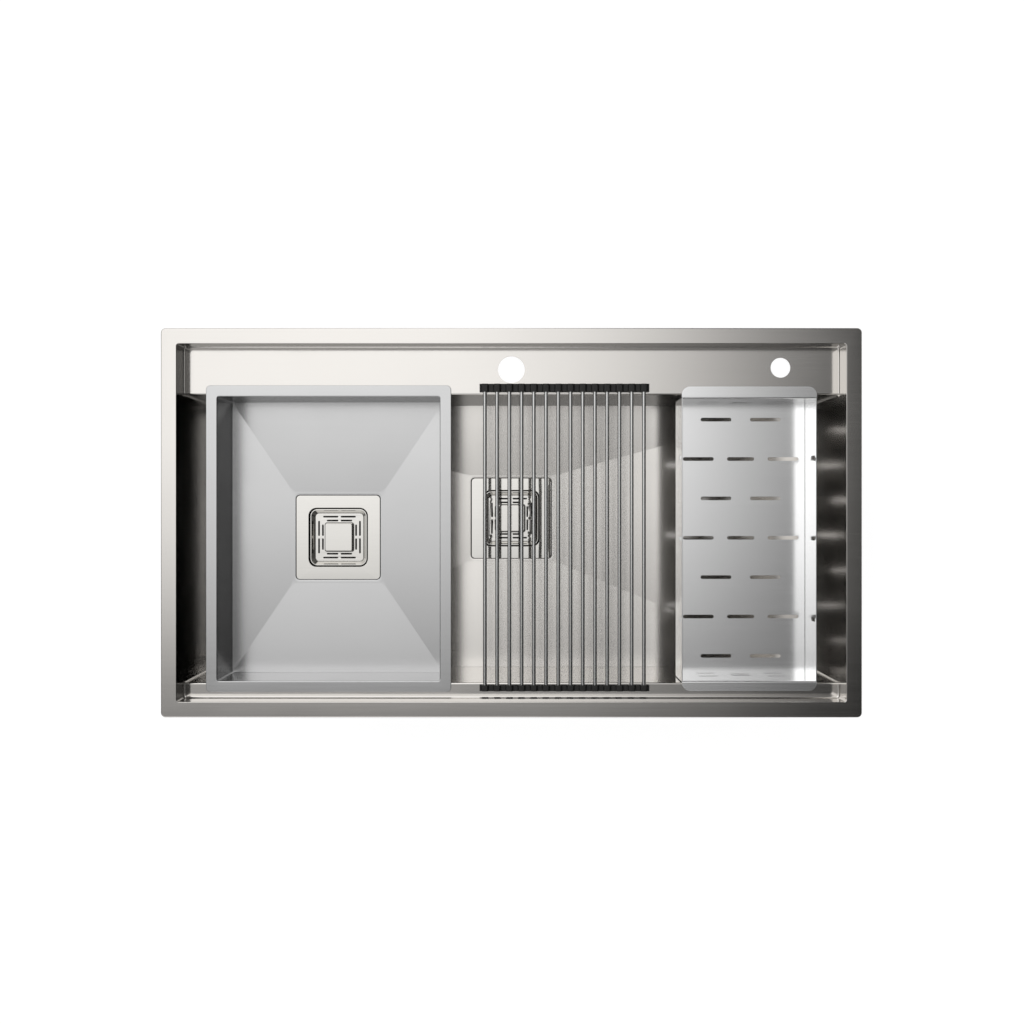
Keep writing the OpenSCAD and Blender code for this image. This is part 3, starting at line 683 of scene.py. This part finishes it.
def soft_plug(x, y, top):
    """A moulded disc with two lips and a hub, pushed up on the end of the stem."""
    section = [(0.5, -34), (24.6, -34), (25.6, -33.7), (25.9, -33.4), (25.6, -33.1), (25.1, -32.9),
               (25.5, -32.6), (25.6, -32.3), (25.3, -32), (24.7, -31.7), (24.2, -31.5), (22.6, -31.5),
               (22.2, -31.9), (20.4, -31.9), (20, -31.5), (9.4, -31.5), (8.4, -31.2), (8, -30.4), (8, -28.4),
               (7.6, -28), (4.05, -28), (4.05, -32.5), (0.5, -32.5)]
    shape = bmesh.new()
    turned(shape, x, y, [(r, top + z) for r, z in section], 64)
    return shape


for who, place in (("main", main_place), ("basin", basin_place)):
    lifted = who + "_strainer"
    piece_of(basket_sides(*place), who + "_basket_sides", lifted, waste_steel,
             (who + "_basket",))
    piece_of(basket_floor(*place), who + "_basket_floor", lifted, waste_steel)
    # The seat is dark steel, a painted shadow round the knob's foot.
    piece_of(knob_shadow_seat(*place), who + "_knob_shadow_seat", lifted, shade_dark_steel)
    piece_of(square_knob(*place), who + "_square_knob", lifted, waste_steel, (who + "_knob",),
             corner=50)
    piece_of(soft_plug(*place), who + "_soft_plug", lifted, silicone, (who + "_plug",))


# The loose basin is pressed from thinner sheet with a satin finish, and its floor is creased as the
# bowl's is. Its rim is folded back under itself, so the rim is three millimetres thick and rests on
# the deck and on the ledge.
basin = (291.4, 372.5, 3)
basin_rim = (321, 401.9, 6)
basin_top, basin_fall, rim_depth = -34, 3, 3
basin_bend = 1.4
basin_cove = grown(basin, -tight, basin_floor + basin_fall + tight)
basin_slopes = creased(basin, basin_floor, basin_fall, (
    (0, 6), (0.015, 4.5), (0.06, 1), (0.2, 0.8), (0.4, 0.8), (0.6, 0.8), (0.8, 0.8), (0.97, 1.5)))
inside = fold(-90, 0, 4, basin_cove, tight) + [grown(basin, 0, -126), grown(basin, 0, -40)]
over_rim = fold(180, 90, 5, grown(basin, basin_bend, basin_top - basin_bend), basin_bend)
over_rim += fold(90, 0, 4, grown(basin_rim, -0.5, basin_top - 0.5), 0.5)
over_rim += fold(0, -90, 4, grown(basin_rim, -0.8, basin_top - rim_depth + 0.8), 0.8)
under_rim = [(307, 387.9, 5, -37), (306.4, 387.3, 5, -36.6), (306.4, 387.3, 5, -35.4), (299, 380.1, 5, -35.4)]
under_rim += fold(90, 180, 4, grown(basin, basin_gauge + 1.6, -37), 1.6)
outside = [grown(basin, basin_gauge, -60), grown(basin, basin_gauge, basin_cove[3])]
outside += fold(0, -90, 4, basin_cove, tight + basin_gauge)[1:]
outside += [(w, d, r, z - basin_gauge) for w, d, r, z in basin_slopes[::-1]]
outside += squares(basin_floor, (119.6, 6.8, -1.4), (119.4, 6.7, -3.9), (118.4, 6.2, -4.4), (86, 13.5, -4.4))
basin_steel = brushed_steel("basin_satin_steel", (0.5, 0.5, 0.5), sheen=0.19,
                            grain=0.02, smudge=0.015, strokes=500, relief=1e-6)
section = sunk_square(basin_floor) + basin_slopes + inside + over_rim + under_rim + outside
piece_of(pressed(bmesh.new(), section, basin_middle), "folded_basin", "basin", basin_steel,
         ("basin_rim", "basin_walls", "basin_floor"))


# The rack is fourteen bright steel rods whose ends sit in soft square sleeves. Thin webs join the
# sleeves, with a groove beside each sleeve, so that the rack rolls up from one side.
rods, first_rod, rod_pitch, rack_level = 14, -34.6, 16, -32.5
sleeve_spans = ((171, 181.5), (-212.5, -220.5))
web_half, groove_half = 1.5, 0.6
web_edge = 5


def sleeve(bm, x, inner, outer):
    """Square sleeve with eased edges and a dimple where its rod comes out."""
    way = 1 if outer > inner else -1
    section = [(4.9, 4.9, 2.44, inner + way * 0.6), (5.2, 5.2, 2.59, inner), (8.2, 8.2, 1.6, inner),
               (8.8, 8.8, 1.9, inner + way * 0.2), (9, 9, 2, inner + way * 0.5), (9, 9, 2, outer - way * 0.5),
               (8.8, 8.8, 1.9, outer - way * 0.2), (8.2, 8.2, 1.6, outer)]
    pressed(bm, section, (x, rack_level), sheet=False, arcs=5, upright=False)


def rubber_strip(bm, profile, inner, outer):
    """Flat strip along a sleeve, given by a place across the rack and half a thickness at each point."""
    bar(bm, [[(u, inner, rack_level - h), (u, outer, rack_level - h), (u, outer, rack_level + h),
              (u, inner, rack_level + h)] for u, h in profile])


def end_tab(x, side):
    """The stub of web that is left on the outer side of the first and of the last sleeve."""
    return [(x + side * u, h) for u, h in ((4.2, groove_half), (4.9, groove_half), (5.3, web_half),
                                           (6.7, web_half), (7, 1.2))]


def web(x):
    """Grooved at both sleeves, with enough points between to bend smoothly."""
    grooves = [(x + u, groove_half) for u in (4.2, 4.9, 11.1, 11.8)]
    middle = [(x + u, web_half) for u in (5.3, 6.2, 7.1, 8, 8.9, 9.8, 10.7)]
    return grooves[:2] + middle + grooves[2:]


rod_steel = brushed_steel("rod_bright_steel", (0.571, 0.571, 0.564), sheen=0.2,
                          grain=0.02, smudge=0.01, strokes=700, relief=6e-7)
for k in range(rods):
    x = first_rod + rod_pitch * k
    number, following = "%02d" % (k + 1), "%02d" % (k + 2)
    finish_in(rod_steel, "rod_" + number)
    sleeves = bmesh.new()
    for inner, outer in sleeve_spans:
        sleeve(sleeves, x, inner, outer)
        if k in (0, rods - 1):
            rubber_strip(sleeves, end_tab(x, 1 if k else -1), inner, outer)
    piece_of(sleeves, "sleeves_" + number, "link_" + number, silicone, ("caps_" + number,))
    if k < rods - 1:
        webs = bmesh.new()
        for inner, outer in sleeve_spans:
            rubber_strip(webs, web(x), inner, outer)
        bend_from = ((x + web_edge) / 1000, 0, rack_level / 1000)
        bend_to = ((x + rod_pitch - web_edge) / 1000, 0, rack_level / 1000)
        piece_of(webs, "web_" + number, ("link_" + number, "link_" + following, bend_from, bend_to),
                 silicone)


# The colander tray is folded from one slotted sheet into a trough. Each end wall is welded in, and its
# top is bent over into a rounded flange that hangs the tray on the deck or on the ledge.
tray_x, tray_front, tray_back = 311.9, -208.75, 163.4
tray_half, tray_bottom, tray_gauge, tray_bend = 88.5, -107, 1.2, 2
tray_top = -35.8
bend_u, bend_z = tray_half - tray_bend, tray_bottom + tray_bend
inner_half, tray_inner_bend = tray_half - tray_gauge, tray_bend - tray_gauge
slot_width, side_slot, end_slot = 5, 24, 26
half_cut = 4


def round_bend(r, *angles):
    """Points of the trough's lower edge, from straight below its centre outwards."""
    return [(bend_u + r * math.sin(a), bend_z - r * math.cos(a)) for a in [math.radians(t) for t in angles]]


def cutter(bm, loop, place):
    """Closed cutter on an outline, long enough to pass through any sheet of the tray."""
    bar(bm, [[place(u, v, w) for u, v in loop] for w in (-half_cut, half_cut)])


def pierced(bm, cutters):
    """The first shape with the second one's closed solids cut out of it."""
    pair = []
    for shape in (bm, cutters):
        bmesh.ops.remove_doubles(shape, verts=shape.verts, dist=0.002)
        bmesh.ops.recalc_face_normals(shape, faces=shape.faces)
        mesh = bpy.data.meshes.new("cut")
        shape.to_mesh(mesh)
        shape.free()
        pair.append(bpy.data.objects.new("cut", mesh))
        scene.collection.objects.link(pair[-1])
    cut = pair[0].modifiers.new("cut", "BOOLEAN")
    cut.object = pair[1]
    cut.solver = "EXACT"
    done = bmesh.new()
    done.from_object(pair[0], bpy.context.evaluated_depsgraph_get())
    for spent in pair:
        bpy.data.objects.remove(spent)
    return done


def trough():
    """The trough without its slots: half of its section, mirrored, from the front to the back."""
    half = [(0, tray_bottom), (bend_u, tray_bottom)] + round_bend(tray_bend, 22, 45, 68)
    half += [(tray_half, bend_z), (tray_half, tray_top - 0.3), (tray_half - 0.3, tray_top)]
    half += [(inner_half + 0.3, tray_top), (inner_half, tray_top - 0.3), (inner_half, bend_z)]
    half += round_bend(tray_inner_bend, 68, 45, 22)
    half += [(bend_u, tray_bottom + tray_gauge), (0, tray_bottom + tray_gauge)]
    section = half + [(-u, z) for u, z in half[-2:0:-1]]
    shape = bmesh.new()
    bar(shape, [[(tray_x + u, y, z) for u, z in section] for y in (tray_front, tray_back)])
    return shape


def trough_slots():
    """Seven rows of slots in the floor, of two and three in turn, and three slots in each side."""
    row_pitch = 375 / 7
    rows_of_two, rows_of_three = ((-33.6, 42), (33.6, 42)), ((-57.6, 42), (0, 37), (57.6, 42))
    slots = bmesh.new()
    for row in range(-3, 4):
        y = row * row_pitch + bowl_middle
        for u, length in rows_of_two if row % 2 else rows_of_three:
            cutter(slots, long_hole(tray_x + u, y, length, slot_width),
                   lambda u, v, w: (u, v, w + tray_bottom + tray_gauge / 2))
        for side in (-1, 1):
            if row in (-2, 0, 2):
                cutter(slots, long_hole(y, -54, side_slot, slot_width, True),
                       lambda u, v, w: (tray_x + side * (tray_half - tray_gauge / 2) + w, u, v))
    return slots


def end_wall(bm, face, way, tip):
    """One end: up the wall, round the bend at its top and out along the flange to its rounded tip."""
    bend_out, corner, bend_level = 2.2, 11, -38
    inner, bend_in = face - way * tray_gauge, bend_out - tray_gauge
    run = []
    for half, z in round_bend(tray_inner_bend, 0, 30, 60, 90):
        run.append((inner, z, face, z, half))
    run.append((inner, bend_level, face, bend_level, inner_half))
    for a in (15, 30, 45, 60, 75, 90):
        c, s = math.cos(math.radians(a)), math.sin(math.radians(a))
        run.append((inner + way * bend_out * (1 - c), bend_level + bend_out * s,
                    inner + way * (bend_out - bend_in * c), bend_level + bend_in * s,
                    inner_half if a < 75 else tray_half))
    for a in (0, 15, 30, 45, 60, 75, 90):
        c, s = math.cos(math.radians(a)), math.sin(math.radians(a))
        y = tip - way * (corner - corner * s)
        run.append((y, tray_top, y, tray_top - tray_gauge, tray_half - corner + corner * c))
    bar(bm, [[(tray_x - half, y, z), (tray_x + half, y, z), (tray_x + half, low_y, low_z),
              (tray_x - half, low_y, low_z)] for y, z, low_y, low_z, half in run])


# The tray's steel is far paler than the sink's. That is partly its own satin finish and partly painted light:
# the brightness a strong lamp from the left would give it, though the scene has no such lamp.
bright_tray_steel = brushed_steel("tray_satin_painted_light_steel", (0.915, 0.915, 0.915), sheen=0.16,
                           grain=0.015, smudge=0.01, strokes=500, relief=1e-6)
piece_of(pierced(trough(), trough_slots()), "tray_trough", "colander", bright_tray_steel,
         ("colander_shell",))

end_walls, end_slots = bmesh.new(), bmesh.new()
for face, way, tip in ((tray_back, 1, 178.3), (tray_front, -1, -220.8)):
    end_wall(end_walls, face, way, tip)
    for u, z in ((-46, -90), (0, -99), (46, -90)):
        cutter(end_slots, long_hole(tray_x + u, z, end_slot, slot_width), lambda u, v, w: (u, face + w, v))
piece_of(pierced(end_walls, end_slots), "tray_ends", "colander", bright_tray_steel,
         ("colander_ends",))
